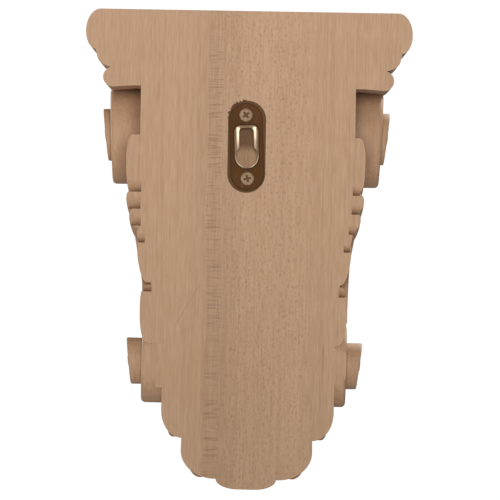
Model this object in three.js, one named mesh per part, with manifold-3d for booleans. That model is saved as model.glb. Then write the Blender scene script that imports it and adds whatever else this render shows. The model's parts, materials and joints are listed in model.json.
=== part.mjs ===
// A carved hardwood corbel bracket: a moulded cap on a scrolled console with a leaf down its front,
// leaf fingers on its sides and a lobed leaf drop below. A keyhole hanger is sunk in its flat back.
//
// Millimetres. +Z is up. The flat back lies on the plane Y = 0 and faces +Y, towards the wall,
// and the carved front faces -Y. The origin is on the back, at mid width and mid height.

import * as THREE from 'three';
import { mergeVertices } from 'three/addons/utils/BufferGeometryUtils.js';
import Module from 'manifold-3d';

// Overall sizes of the bracket
const height = 228.4;
const capWidth = 156;
const depth = 114;

// Cap moulding, from the top down: a big round, a fillet, an ovolo and a bead
const roundHeight = 19.2;
const roundCrown = 7;
const roundProjection = 4.8;
const filletHeight = 3.2;
const ovoloHeight = 5.3;
const ovoloProjection = 7.2;
const beadRadius = 4.7;
const beadInset = 8.5;
const undersideRise = 0.7;

// The carver's hand: the upper roll and the side leaves sit a little to one side of the middle and the
// drop to the other, and the lower roll and the drop hang lower on the -X side, by an angle in degrees
const consoleShift = 0.7;
const dropShift = -2.3;
const footLean = 0.5;

// Body between the scrolls. It is widest under the cap, and its sides are sunk behind the carving
const bodyWidthTop = 102.6;
const bodyWidthFoot = 88;
const bandWidthTop = 104;
const bandWidthFoot = 98;
const bandThickness = 8;

// Scrolls: two rolls that lie across the bracket, with a raised button on each end
const upperRollRadius = 23.4;
const upperRollWidth = 131.8;
const lowerRollRadius = 19.8;
const lowerRollWidth = 97.9;
const lowerRollInset = 18;
const rollEdgeRound = 2;
const upperButtonRadius = 12.7;
const lowerButtonRadius = 11.1;
const upperButtonRise = 2.9;
const lowerButtonRise = 6.4;
const upperButtonLift = 0.5;
const buttonSlope = 0.116;
const rollTaper = 0.04;
const capOverhang = 10.4;

const edgeWidth = 4.2;
const edgeRise = 2;

// Leaf drop under the lower scroll: three steps of lobes, each with its width and the height of its foot
const dropHeight = 59.9;
const dropSteps = [
  { width: 82.4, corner: 9.9, rise: 13.3, bottom: 24 },
  { width: 62.8, corner: 16.4, rise: 13.4, bottom: 4.8 },
  { width: 28.8, corner: 10.4, rise: 4.8, bottom: 0 },
];
const dropThickness = 9;
const dropBelly = 13;

// Routed pocket for the keyhole hanger, with a deeper slot for the head of the wall screw
const pocketWidth = 18.1;
const pocketLength = 43.9;
const pocketDepth = 4.6;
const pocketDrop = 64.8;
const pocketShift = 0.4;
const slotWidth = 11.6;
const slotLength = 27;
const slotDepth = 13;

// Keyhole hanger: a pressed steel plate with a raised keyhole between two screws
const plateThickness = 1;
const plateMargin = 1.1;
const plateTilt = 2.1;
const raisedWidth = 12.4;
const raisedLength = 21.8;
const raisedCorner = 3;
const raisedHeight = 2.4;
const raisedDraft = 0.4;
const keySlotWidth = 7;
const keySlotTop = 9;
const keySlotCorner = 2;
const keyHoleWidth = 10.6;
const keyHoleDrop = 4.4;
const screwSpacing = 30.4;
const screwHeadRadius = 3.4;
const screwHeadHeight = 2;
const screwShankRadius = 1.6;
const screwLength = 15;
const recessReach = 2;
const recessWidth = 0.9;
const recessDepth = 1.2;
const clearance = 0.3;

// Places that follow from the sizes
const topZ = height / 2;
const footZ = -height / 2;
const mouldingHeight = roundHeight + filletHeight + ovoloHeight + 2 * beadRadius;
const capBaseZ = topZ - mouldingHeight + undersideRise;
const sunk = 0.5;
const upperRoll = new THREE.Vector2(depth - capOverhang - upperRollRadius, capBaseZ + sunk - upperRollRadius);
const lowerRoll = new THREE.Vector2(lowerRollInset, footZ + dropHeight);
const bodySpan = upperRoll.y - lowerRoll.y;
const buried = 3;

const wasm = await Module();
wasm.setup();

// A place in the bracket: x across, u forward from the back, z up
function at(x, u, z) {
  return new THREE.Vector3(x, -u, z);
}

// A closed mesh as a solid that can be joined and cut, with its faces turned outwards
function solid(geometry) {
  const bare = geometry.clone();
  bare.deleteAttribute('normal');
  bare.deleteAttribute('uv');
  const merged = mergeVertices(bare, 1e-4);
  const position = merged.attributes.position;
  const triangles = new Uint32Array(merged.index.array);
  const [a, b, c] = [0, 1, 2].map(() => new THREE.Vector3());
  let volume = 0;
  for (let i = 0; i < triangles.length; i += 3) {
    a.fromBufferAttribute(position, triangles[i]);
    b.fromBufferAttribute(position, triangles[i + 1]);
    c.fromBufferAttribute(position, triangles[i + 2]);
    volume += a.dot(b.cross(c));
  }
  if (volume < 0) triangles.reverse();
  const vertProperties = new Float32Array(position.array);
  return new wasm.Manifold(new wasm.Mesh({ numProp: 3, vertProperties, triVerts: triangles }));
}

function geometryOf(manifold) {
  const mesh = manifold.getMesh();
  const geometry = new THREE.BufferGeometry();
  geometry.setAttribute('position', new THREE.BufferAttribute(new Float32Array(mesh.vertProperties), 3));
  geometry.setIndex(Array.from(mesh.triVerts));
  geometry.computeVertexNormals();
  return geometry;
}

// A closed skin over rings of points that all have the same count, flat or nearly so at both ends
function loft(rings) {
  const count = rings[0].length;
  const points = rings.flat();
  const index = [];
  for (let r = 0; r + 1 < rings.length; r++) {
    for (let k = 0; k < count; k++) {
      const next = (k + 1) % count;
      const [a, b] = [r * count + k, r * count + next];
      index.push(a, b, b + count, a, b + count, a + count);
    }
  }
  for (const [ring, outward] of [[0, false], [rings.length - 1, true]]) {
    const middle = new THREE.Vector3();
    rings[ring].forEach((p) => middle.add(p));
    points.push(middle.divideScalar(count));
    for (let k = 0; k < count; k++) {
      const [a, b] = [ring * count + k, ring * count + ((k + 1) % count)];
      index.push(points.length - 1, outward ? a : b, outward ? b : a);
    }
  }
  const geometry = new THREE.BufferGeometry().setFromPoints(points);
  geometry.setIndex(index);
  return solid(geometry);
}

function mirrored(manifold) {
  return solid(geometryOf(manifold).scale(-1, 1, 1));
}

function moved(manifold, x, y, z) {
  return solid(geometryOf(manifold).translate(x, y, z));
}

// Turned upright about the lower roll, so that the -X side hangs lower
function leaned(manifold) {
  const turned = geometryOf(manifold).translate(0, 0, -lowerRoll.y);
  return solid(turned.rotateY(THREE.MathUtils.degToRad(-footLean)).translate(0, 0, lowerRoll.y));
}

function joined(solids) {
  return solids.reduce((whole, next) => whole.add(next));
}

// The outer skin alone, without the closed bubbles that crossing fingers can leave between them. The skin
// that reaches highest is the outer one, and each bubble's faces share no corner with it
function withoutBubbles(manifold) {
  const { vertProperties, triVerts } = manifold.getMesh();
  const owner = Array.from({ length: vertProperties.length / 3 }, (_, v) => v);
  const find = (v) => {
    while (owner[v] !== v) v = owner[v] = owner[owner[v]];
    return v;
  };
  let top = 0;
  for (let t = 0; t < triVerts.length; t += 3) {
    owner[find(triVerts[t])] = find(triVerts[t + 1]);
    owner[find(triVerts[t + 1])] = find(triVerts[t + 2]);
    if (vertProperties[triVerts[t] * 3 + 2] > vertProperties[top * 3 + 2]) top = triVerts[t];
  }
  const kept = [];
  for (let t = 0; t < triVerts.length; t += 3) {
    if (find(triVerts[t]) === find(top)) kept.push(triVerts[t], triVerts[t + 1], triVerts[t + 2]);
  }
  const geometry = geometryOf(manifold);
  geometry.setIndex(kept);
  return solid(geometry.toNonIndexed());
}

// An outline in x and z, standing on the plane of the back and reaching forward from u0 to u1
function slab(shape, u0, u1, curveSegments = 6) {
  const geometry = new THREE.ExtrudeGeometry(shape, { depth: u1 - u0, bevelEnabled: false, curveSegments });
  geometry.rotateX(Math.PI / 2);
  geometry.translate(0, -u0, 0);
  return solid(geometry);
}

// A slot with round ends, standing upright about its own centre
function stadium(width, length) {
  const r = width / 2;
  const straight = length / 2 - r;
  const shape = new THREE.Shape();
  shape.absarc(0, straight, r, 0, Math.PI);
  shape.absarc(0, -straight, r, Math.PI, 2 * Math.PI);
  shape.closePath();
  return shape;
}

// A slot with a round foot and a squarer head, standing upright: its head is top above the centre and its
// foot is bottom below it
function arch(width, top, bottom, corner) {
  const r = width / 2;
  const shape = new THREE.Shape();
  shape.absarc(r - corner, top - corner, corner, 0, Math.PI / 2);
  shape.absarc(corner - r, top - corner, corner, Math.PI / 2, Math.PI);
  shape.absarc(0, r - bottom, r, Math.PI, 2 * Math.PI);
  shape.closePath();
  return shape;
}

// Cap: the moulding runs round the two sides and the front, mitred at the corners
function cap() {
  const profile = new THREE.Path();
  let z = topZ;
  const crown = roundHeight * 0.55;
  profile.moveTo(-roundCrown, z);
  profile.absellipse(-roundCrown, z - crown, roundCrown, crown, Math.PI / 2, 0, true);
  profile.absellipse(
    -roundProjection, z - crown, roundProjection, roundHeight - crown, 0, -Math.PI / 2, true);
  z -= roundHeight + filletHeight;
  profile.lineTo(-roundProjection - 0.7, z);
  profile.quadraticCurveTo(
    -roundProjection - 1, z - ovoloHeight * 0.7, -roundProjection - ovoloProjection, z - ovoloHeight);
  z -= ovoloHeight + beadRadius;
  profile.absarc(-beadInset - beadRadius, z, beadRadius, Math.PI * 0.41, -Math.PI / 2, true);
  profile.lineTo(-beadInset - 3 * beadRadius, capBaseZ);
  const points = profile.getPoints(5);
  return loft(points.map((p) => {
    const [w, d] = [capWidth / 2 + p.x, depth + p.x];
    return [at(-w, 0, p.y), at(w, 0, p.y), at(w, d, p.y), at(-w, d, p.y)];
  }));
}

// Front edge of the console seen from the side, in u and z: round the upper roll, then back in a long hollow
// to the crease above the lower roll
const tuck = THREE.MathUtils.degToRad(-25);
const frontStart = THREE.MathUtils.degToRad(72);
const leave = new THREE.Vector2(Math.cos(tuck), Math.sin(tuck))
  .multiplyScalar(upperRollRadius)
  .add(upperRoll);
const crease = new THREE.Vector2(lowerRoll.x + lowerRollRadius * 0.42, lowerRoll.y + lowerRollRadius * 1.02);
const frontLine = new THREE.CurvePath();
frontLine.add(new THREE.EllipseCurve(
  upperRoll.x, upperRoll.y, upperRollRadius, upperRollRadius, frontStart, tuck, true));
frontLine.add(new THREE.CubicBezierCurve(
  leave,
  new THREE.Vector2(Math.sin(tuck), -Math.cos(tuck)).multiplyScalar(bodySpan * 0.34).add(leave),
  new THREE.Vector2(crease.x - 1, crease.y + bodySpan * 0.36),
  crease));
const frontLength = frontLine.getLength();

// A place on the front: x across, s along the front edge from the cap down, h out from it
function onFront(x, s, h) {
  const t = THREE.MathUtils.clamp(s / frontLength, 0, 1);
  const p = frontLine.getPointAt(t);
  const along = frontLine.getTangentAt(t);
  const past = s - t * frontLength;
  return at(x, p.x - along.y * h + along.x * past, p.y + along.x * h + along.y * past);
}

function halfWidthAt(z, top, foot) {
  const t = THREE.MathUtils.clamp((upperRoll.y - z) / bodySpan, 0, 1);
  return THREE.MathUtils.lerp(top, foot, THREE.MathUtils.smoothstep(t, 0.2, 0.8)) / 2;
}

// Web: the sunk body behind the band, cut off flat at the wall
function web() {
  const rows = 10;
  const rings = [];
  for (let i = 0; i <= rows; i++) {
    const s = (i / rows) * frontLength;
    const p = onFront(0, s, -bandThickness / 2);
    const w = halfWidthAt(p.z, bodyWidthTop, bodyWidthFoot);
    rings.push([at(-w, 0, p.z), at(w, 0, p.z), at(w, -p.y, p.z), at(-w, -p.y, p.z)]);
  }
  const w = bodyWidthTop / 2;
  const u = upperRoll.x;
  rings.unshift([at(-w, 0, capBaseZ + buried), at(w, 0, capBaseZ + buried), at(w, u, capBaseZ + buried),
    at(-w, u, capBaseZ + buried)]);
  const foot = bodyWidthFoot / 2 - 1.6;
  const [z, reach] = [lowerRoll.y - lowerRollRadius * 0.6, lowerRoll.x];
  rings.push([at(-foot, 0, z), at(foot, 0, z), at(foot, reach, z), at(-foot, reach, z)]);
  return loft(rings);
}

// Band: a strip as thick as a finger that follows the front edge and stands out past the web
function band() {
  const steps = 14;
  const rings = [];
  for (let i = 0; i <= steps; i++) {
    const s = (i / steps) * frontLength;
    const w = halfWidthAt(onFront(0, s, 0).z, bandWidthTop, bandWidthFoot);
    rings.push([
      onFront(-w, s, 0), onFront(w, s, 0), onFront(w, s, -bandThickness), onFront(-w, s, -bandThickness)]);
  }
  return loft(rings);
}

// Raised edge that frames the front leaf on the +X side of the band
function bandEdge() {
  const steps = 10;
  const rings = [];
  for (let i = 0; i <= steps; i++) {
    const s = (i / steps) * frontLength;
    const w = halfWidthAt(onFront(0, s, 0).z, bandWidthTop, bandWidthFoot) + 0.3;
    rings.push([
      onFront(w - edgeWidth, s, -buried), onFront(w - edgeWidth, s, edgeRise * 0.5),
      onFront(w - edgeWidth * 0.6, s, edgeRise), onFront(w - 0.6, s, edgeRise), onFront(w, s, edgeRise * 0.6),
      onFront(w, s, -buried)]);
  }
  return loft(rings);
}

// A roll across the bracket, with softened edges. With a taper its ends lean in towards the foot
function roll(centre, radius, width, taper = 0) {
  const w = width / 2;
  const end = [[0, w], [radius - rollEdgeRound, w], [radius, w - rollEdgeRound]];
  const profile = [
    ...end.map(([r, x]) => new THREE.Vector2(r, -x)),
    ...end.toReversed().map(([r, x]) => new THREE.Vector2(r, x)),
  ];
  const geometry = new THREE.LatheGeometry(profile, 24);
  geometry.rotateZ(Math.PI / 2);
  const { position } = geometry.attributes;
  for (let i = 0; i < position.count; i++) {
    position.setX(i, position.getX(i) * (1 + (taper * position.getZ(i)) / w));
  }
  const place = at(0, centre.x, centre.y);
  geometry.translate(place.x, place.y, place.z);
  return solid(geometry);
}

// The raised button in the eye of a scroll, on the +X end. Its face leans in towards the foot
function button(centre, radius, width, rise) {
  const sides = 16;
  const ring = (r, x) => Array.from({ length: sides }, (_, k) => {
    const turn = (k / sides) * 2 * Math.PI;
    const up = r * Math.sin(turn);
    return at(x + (x > width / 2 ? up * buttonSlope : 0), centre.x + r * Math.cos(turn), centre.y + up);
  });
  const face = width / 2 + rise;
  return loft([
    ring(radius, width / 2 - buried), ring(radius, face - 0.8), ring(radius - 0.8, face),
    ring(radius * 0.42, face), ring(radius * 0.34, face - 1.2), ring(radius * 0.22, face + 0.4)]);
}

// The groove that winds round a roll's end to its button, cut with a round gouge
function windingGroove(centre, radius, width, buttonRadius, sense) {
  const steps = 12;
  const turns = 1.15;
  const start = radius - 5;
  const gouge = 2.1;
  const rings = [];
  for (let i = 0; i <= steps; i++) {
    const t = i / steps;
    const turn = Math.PI * 1.1 + sense * turns * 2 * Math.PI * t;
    const r = THREE.MathUtils.lerp(start, buttonRadius + 0.6, t ** 0.8);
    const size = gouge * (0.5 + 0.5 * Math.sin(Math.PI * Math.min(1, t * 2)) ** 0.5 || 0.5);
    rings.push(Array.from({ length: 4 }, (_, k) => {
      const a = (k / 4) * 2 * Math.PI;
      const far = r + size * Math.cos(a);
      return at(
        width / 2 + 0.4 + size * Math.sin(a),
        centre.x + far * Math.cos(turn),
        centre.y + far * Math.sin(turn));
    }));
  }
  return loft(rings);
}

// A finger of a leaf: a pod that runs from its root to its tip over a surface. place(a, b, h) gives a point
// of that surface, a and b along it and h out from it. bow bends the finger to its left, and full below 1
// squares its round back
function finger(place, root, tip, {
  bow = 0, width, rise, rootShare = 0.45, widest = 0.62, full = 1, stations = 4,
}) {
  const path = new THREE.Vector2().subVectors(tip, root);
  const length = path.length();
  const side = new THREE.Vector2(-path.y, path.x).divideScalar(length);
  const bend = side.clone().multiplyScalar(bow * 2).addScaledVector(path, 0.5).add(root);
  const line = new THREE.QuadraticBezierCurve(root, bend, tip);
  const rings = [];
  for (let i = 0; i <= stations; i++) {
    const t = Math.sin((i / stations) * Math.PI / 2);
    const swell = t < widest
      ? THREE.MathUtils.lerp(rootShare, 1, Math.sin((t / widest) * Math.PI / 2))
      : Math.sqrt(Math.max(0.02, 1 - ((t - widest) / (1 - widest)) ** 2));
    const p = line.getPoint(t);
    const along = line.getTangent(t);
    const [w, h] = [width / 2 * swell, rise * (0.35 + 0.65 * swell)];
    const ring = [];
    for (let k = 0; k <= 4; k++) {
      const a = (k / 4) * Math.PI;
      const across = w * Math.cos(a);
      ring.push(place(p.x - along.y * across, p.y + along.x * across, h * Math.max(0, Math.sin(a)) ** full));
    }
    for (const across of [-w, w]) {
      ring.push(place(p.x - along.y * across, p.y + along.x * across, -buried));
    }
    rings.push(ring);
  }
  return loft(rings);
}

// Front leaf: pairs of lobes down the midrib, each a fan of three fingers, and a tip that falls on the
// lower roll
function frontLeaf() {
  const pods = [];
  const lobes = 4;
  const first = frontLength * 0.02;
  const pitch = frontLength * 0.185;
  for (let n = 0; n < lobes; n++) {
    const root = new THREE.Vector2(2, first + n * pitch);
    const reach = halfWidthAt(onFront(0, root.y + pitch, 0).z, bandWidthTop, bandWidthFoot) - 5.5 - n * 2.6;
    for (const [fan, length, width] of [[80, 0.95, 15], [57, 1.08, 17], [34, 1, 15]]) {
      const turn = THREE.MathUtils.degToRad(fan);
      const tip = new THREE.Vector2(Math.sin(turn), Math.cos(turn) * 0.85)
        .multiplyScalar(reach * length)
        .add(root);
      pods.push(finger(onFront, root, tip, { bow: 2.5, width, rise: 6.4 - n * 0.3 }));
    }
  }
  const root = new THREE.Vector2(2, first + lobes * pitch);
  for (const [x, length, width] of [[22, 22, 11], [12, 29, 11]]) {
    const tip = new THREE.Vector2(x, root.y + length);
    pods.push(finger(onFront, root, tip, { bow: 2, width, rise: 6 }));
  }
  const ribStart = new THREE.Vector2(0, 1);
  const ribEnd = new THREE.Vector2(0, frontLength + 3);
  const midrib = finger(onFront, ribStart, ribEnd, { width: 9, rise: 8, rootShare: 0.9, stations: 8 });
  const side = joined(pods);
  return joined([side, mirrored(side), midrib]);
}

// A place on the +X side: a forward from the wall, b up, h out from the sunk web
function onSide(a, b, h) {
  return at(halfWidthAt(b, bodyWidthTop, bodyWidthFoot) + h, a, b);
}

// Side leaf: fingers that fan from a rib down the side to the wall, and short ones that lie forward of the
// rib. span holds the two heights at which each finger's edges meet the wall
function sideLeaf() {
  const root = new THREE.Vector2(lowerRoll.x + 4, lowerRoll.y + lowerRollRadius + 2);
  const crown = new THREE.Vector2(upperRoll.x - 22, upperRoll.y - upperRollRadius * 0.5);
  const rib = (t) => new THREE.Vector2(-7 * Math.sin(Math.PI * t), 0).add(root.clone().lerp(crown, t));
  const toWall = [
    { span: [55, 30.6], rise: 5.8, from: 0.78 },
    { span: [28.8, 20.6], rise: 5.9, from: 0.6 },
    { span: [19.8, 11.6], rise: 5.4, from: 0.5 },
    { span: [10.6, 3.4], rise: 2.8, from: 0.41 },
    { span: [2.4, -16.6], rise: 4, from: 0.32 },
    { span: [-20.4, -49], rise: 5.5, from: 0.06 },
  ];
  const pods = toWall.map(({ span: [high, low], rise, from }) => {
    const past = 6 + (high - low) * 0.2;
    const tip = new THREE.Vector2(-past, (high + low) / 2 + past * 0.6);
    return finger(
      onSide, rib(from), tip, { bow: 4, width: high - low, rise, rootShare: 0.25, widest: 0.8, full: 0.6 });
  });
  for (const [from, reach, drop] of [[0.3, 12, 16], [0.5, 16, 19], [0.7, 19, 18], [0.88, 20, 12]]) {
    const start = rib(from);
    const tip = new THREE.Vector2(start.x + reach, start.y + drop);
    pods.push(finger(onSide, start, tip, { bow: -2, width: 9, rise: 4, rootShare: 0.3 }));
  }
  pods.push(finger(onSide, root, crown, { bow: -5, width: 6, rise: 4.6, rootShare: 0.5 }));
  return joined(pods);
}

// Leaf drop: the lobed outline that shows from behind, with a finger down the middle of each lobe
function leafDrop() {
  const outline = new THREE.Shape();
  const topOfDrop = lowerRoll.y;
  const corners = dropSteps.map(({ width, corner, rise, bottom }) => ({
    x: width / 2 - corner, z: footZ + bottom + rise, corner, rise }));
  outline.moveTo(-dropSteps[0].width / 2, topOfDrop);
  outline.lineTo(-dropSteps[0].width / 2, corners[0].z);
  for (const { x, z, corner, rise } of corners) {
    outline.absellipse(-x, z, corner, rise, Math.PI, Math.PI * 1.5);
  }
  for (const { x, z, corner, rise } of corners.toReversed()) {
    outline.absellipse(x, z, corner, rise, -Math.PI / 2, 0);
  }
  outline.lineTo(dropSteps[0].width / 2, topOfDrop);
  outline.closePath();
  const belly = new THREE.QuadraticBezierCurve(
    new THREE.Vector2(dropThickness + dropBelly, 0),
    new THREE.Vector2(dropThickness, dropHeight * 0.55),
    new THREE.Vector2(dropThickness + 1, dropHeight));
  const onDrop = (x, down, h) => at(x, belly.getPoint(THREE.MathUtils.clamp(down / dropHeight, 0, 1)).x + h,
    lowerRoll.y - down);
  const edges = [0, ...dropSteps.toReversed().map((step) => step.width / 2)];
  const feet = [0, ...dropSteps.toReversed().map((step) => step.bottom)];
  const pods = [];
  for (let n = 1; n < edges.length; n++) {
    const middle = n === 1;
    const x = middle ? 0 : (edges[n] + edges[n - 1]) / 2;
    const width = middle ? edges[1] * 2 : edges[n] - edges[n - 1] + 2;
    const tip = new THREE.Vector2(x, dropHeight - feet[n] - 0.5);
    const start = new THREE.Vector2(x * 0.5, 4);
    const pod = finger(onDrop, start, tip, { width, rise: 7.5 - n, rootShare: 0.7, stations: 5 });
    pods.push(pod);
    if (!middle) pods.push(mirrored(pod));
  }
  const core = new THREE.Shape(belly.getPoints(8).map((p) => new THREE.Vector2(p.x - 1, lowerRoll.y - p.y)));
  core.lineTo(0, footZ);
  core.lineTo(0, lowerRoll.y);
  core.closePath();
  const bulk = new THREE.ExtrudeGeometry(core, { depth: dropSteps[0].width, bevelEnabled: false });
  bulk.translate(0, 0, -dropSteps[0].width / 2);
  bulk.applyMatrix4(new THREE.Matrix4().makeBasis(at(0, 1, 0), at(0, 0, 1), at(-1, 0, 0)));
  const leaf = slab(outline, 0, dropThickness + dropBelly).intersect(solid(bulk));
  return moved(joined([leaf, ...pods]), dropShift, 0, 0);
}

// Hanger frame: the middle of the pocket, with the plate turned a little in it
const hanger = new THREE.Group();
hanger.position.set(pocketShift, 0, topZ - pocketDrop);
hanger.rotation.y = THREE.MathUtils.degToRad(plateTilt);
hanger.updateMatrix();
const plateBack = pocketDepth - clearance;
const plateFace = plateBack - plateThickness;

function pocket() {
  const wide = slab(stadium(pocketWidth, pocketLength), -1, pocketDepth);
  const deep = slab(stadium(slotWidth, slotLength), -1, slotDepth);
  const pilots = [-1, 1].map((end) => {
    const pilot = new THREE.CylinderGeometry(
      screwShankRadius + clearance, screwShankRadius + clearance, screwLength, 10);
    pilot.translate(0, -plateFace - screwLength / 2 - clearance, (end * screwSpacing) / 2);
    return solid(pilot.applyMatrix4(new THREE.Matrix4().makeRotationY(hanger.rotation.y)));
  });
  return moved(joined([wide, deep, ...pilots]), hanger.position.x, 0, hanger.position.z);
}

function corbelSolid() {
  const upperEye = upperRoll.clone().add(new THREE.Vector2(0, upperButtonLift));
  const upperEnd = button(upperEye, upperButtonRadius, upperRollWidth, upperButtonRise);
  const lowerEnd = button(lowerRoll, lowerButtonRadius, lowerRollWidth, lowerButtonRise);
  const upperGroove = windingGroove(upperRoll, upperRollRadius, upperRollWidth, upperButtonRadius, 1);
  const lowerGroove = windingGroove(lowerRoll, lowerRollRadius, lowerRollWidth, lowerButtonRadius, -1);
  const upper = roll(upperRoll, upperRollRadius, upperRollWidth, rollTaper)
    .subtract(upperGroove.add(mirrored(upperGroove)))
    .add(upperEnd.add(mirrored(upperEnd)));
  const lower = roll(lowerRoll, lowerRollRadius, lowerRollWidth)
    .subtract(lowerGroove.add(mirrored(lowerGroove)))
    .add(lowerEnd.add(mirrored(lowerEnd)));
  const [side, edge] = [sideLeaf(), bandEdge()];
  const shifted = moved(joined([upper, side, mirrored(side)]), consoleShift, 0, 0);
  const foot = leaned(lower.add(leafDrop()));
  const whole = joined([cap(), web(), band(), edge, mirrored(edge), shifted, foot, frontLeaf()]);
  const behindWall = new THREE.BoxGeometry(capWidth * 2, depth, height * 2).translate(0, depth / 2, 0);
  return withoutBubbles(whole.subtract(solid(behindWall)).subtract(pocket()));
}

// Hanger plate in its own frame: a pressed dome with a keyhole through its top, and a hole for each screw
function hangerPlate() {
  const dome = (shrink, face) => {
    const ring = (inset, u) => {
      const reach = raisedLength / 2 - inset;
      const rim = arch(raisedWidth - 2 * inset, reach, reach, raisedCorner - inset);
      return rim.getPoints(4).map((p) => at(p.x, u, p.y));
    };
    return loft([
      ring(shrink, plateBack), ring(shrink + raisedDraft, face + 0.6),
      ring(shrink + raisedDraft + 0.3, face)]);
  };
  const domeFace = plateFace - raisedHeight;
  const plate = slab(
    stadium(pocketWidth - 2 * plateMargin, pocketLength - 2 * plateMargin), plateFace, plateBack);
  const slot = slab(arch(keySlotWidth, keySlotTop, keyHoleDrop, keySlotCorner), -1, pocketDepth);
  const entry = moved(slab(stadium(keyHoleWidth, keyHoleWidth + 0.4), -1, pocketDepth), 0, 0, -keyHoleDrop);
  const holes = [-1, 1].map((end) => {
    const radius = screwShankRadius + clearance;
    return moved(slab(stadium(2 * radius, 2 * radius + 0.1), 0, pocketDepth), 0, 0, (end * screwSpacing) / 2);
  });
  const hollow = moved(dome(plateThickness, domeFace + plateThickness), 0, -0.01, 0);
  return plate.add(dome(0, domeFace)).subtract(joined([hollow, slot, entry, ...holes]));
}

// Screw about its own axis: a low round head with a cross recess, and a plain shank that ends in a point
function screw() {
  const r = screwHeadRadius;
  const profile = new THREE.Path();
  profile.moveTo(0, screwHeadHeight);
  profile.bezierCurveTo(r * 0.6, screwHeadHeight, r, screwHeadHeight * 0.7, r, 0.3);
  profile.lineTo(r, 0);
  profile.lineTo(screwShankRadius, 0);
  profile.lineTo(screwShankRadius, 4 - screwLength);
  profile.lineTo(0, -screwLength + clearance);
  const turned = new THREE.LatheGeometry(profile.getPoints(4), 14);
  const arms = [0, 1].map((quarter) => {
    const arm = new THREE.BoxGeometry(2 * recessReach, recessDepth * 2, recessWidth);
    return solid(arm.rotateY((quarter * Math.PI) / 2 + Math.PI / 5).translate(0, screwHeadHeight, 0));
  });
  return solid(turned).subtract(joined(arms));
}

const wood = new THREE.MeshStandardMaterial({ color: 0xbe9c80, roughness: 0.75, metalness: 0 });
const plateSteel = new THREE.MeshStandardMaterial({ color: 0x6a4a34, roughness: 0.38, metalness: 1 });
const screwSteel = new THREE.MeshStandardMaterial({ color: 0xa08c74, roughness: 0.35, metalness: 1 });

function named(name, manifold, material) {
  const mesh = new THREE.Mesh(geometryOf(manifold), material);
  mesh.name = name;
  return mesh;
}

const bracket = new THREE.Group();
bracket.name = 'bracket';
bracket.add(named('corbel', corbelSolid(), wood), hanger);
hanger.add(named('hanger_plate', hangerPlate(), plateSteel));
for (const [name, end] of [['upper_screw', 1], ['lower_screw', -1]]) {
  const fixing = named(name, screw(), screwSteel);
  fixing.position.set(0, clearance - plateFace, (end * screwSpacing) / 2);
  hanger.add(fixing);
}

export default bracket;
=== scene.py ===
"""Carved wooden corbel with a keyhole hanger in its back, in a plain pale studio.

Blender metres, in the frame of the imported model: +Z up, the flat back on the plane Y = 0 facing +Y,
and the carved front facing -Y. Inside this script, shapes are worked out in millimetres as x across,
u forward from the back and z up, and become metres where a mesh is made.
"""

import json
import math
from bisect import bisect_right
from contextlib import contextmanager

import bmesh
import bpy
from bpy.props import FloatProperty, FloatVectorProperty, PointerProperty
from mathutils import Matrix, Vector

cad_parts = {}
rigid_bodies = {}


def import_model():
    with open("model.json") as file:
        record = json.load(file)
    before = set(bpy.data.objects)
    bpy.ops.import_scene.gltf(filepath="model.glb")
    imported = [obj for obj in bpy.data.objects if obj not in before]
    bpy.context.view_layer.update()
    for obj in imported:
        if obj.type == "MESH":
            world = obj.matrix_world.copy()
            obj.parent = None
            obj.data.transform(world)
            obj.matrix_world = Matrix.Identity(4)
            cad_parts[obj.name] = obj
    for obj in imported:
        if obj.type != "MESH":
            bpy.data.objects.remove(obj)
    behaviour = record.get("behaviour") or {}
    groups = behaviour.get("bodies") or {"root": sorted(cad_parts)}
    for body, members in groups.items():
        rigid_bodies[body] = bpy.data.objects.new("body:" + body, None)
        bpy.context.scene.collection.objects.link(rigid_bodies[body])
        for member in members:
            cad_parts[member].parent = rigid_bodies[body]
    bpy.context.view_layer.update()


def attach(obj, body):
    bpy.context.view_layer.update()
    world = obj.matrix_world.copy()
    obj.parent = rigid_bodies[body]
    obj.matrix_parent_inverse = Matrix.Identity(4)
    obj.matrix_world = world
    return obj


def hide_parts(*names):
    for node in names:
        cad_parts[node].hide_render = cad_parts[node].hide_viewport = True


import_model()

bl_info = {
    "name": "Carved Corbel",
    "version": (1, 0, 0),
    "blender": (4, 5, 0),
    "location": "View3D > Sidebar > Corbel",
    "description": "Builds a carved wooden corbel, its keyhole hanger and a small studio",
    "category": "Object",
}

MM = 0.001
BODY = "root"
# How deep, in millimetres, a shape reaches into what it is joined to
BURIED = 3.0
# Turns that lay an upright bar across the corbel, or point it at the wall
ACROSS = (0, math.pi / 2, 0)
FORWARD = (math.pi / 2, 0, 0)


def length(label, millimetres, words):
    """A length that a user can change. It is kept in metres and given here in millimetres."""
    return FloatProperty(
        name=label, description=words, default=millimetres * MM, min=-1.0, max=1.0,
        unit="LENGTH", subtype="DISTANCE", precision=5)


def colour(label, hue, words):
    return FloatVectorProperty(
        name=label, description=words, default=hue, size=3, min=0.0, max=1.0, subtype="COLOR")


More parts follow.
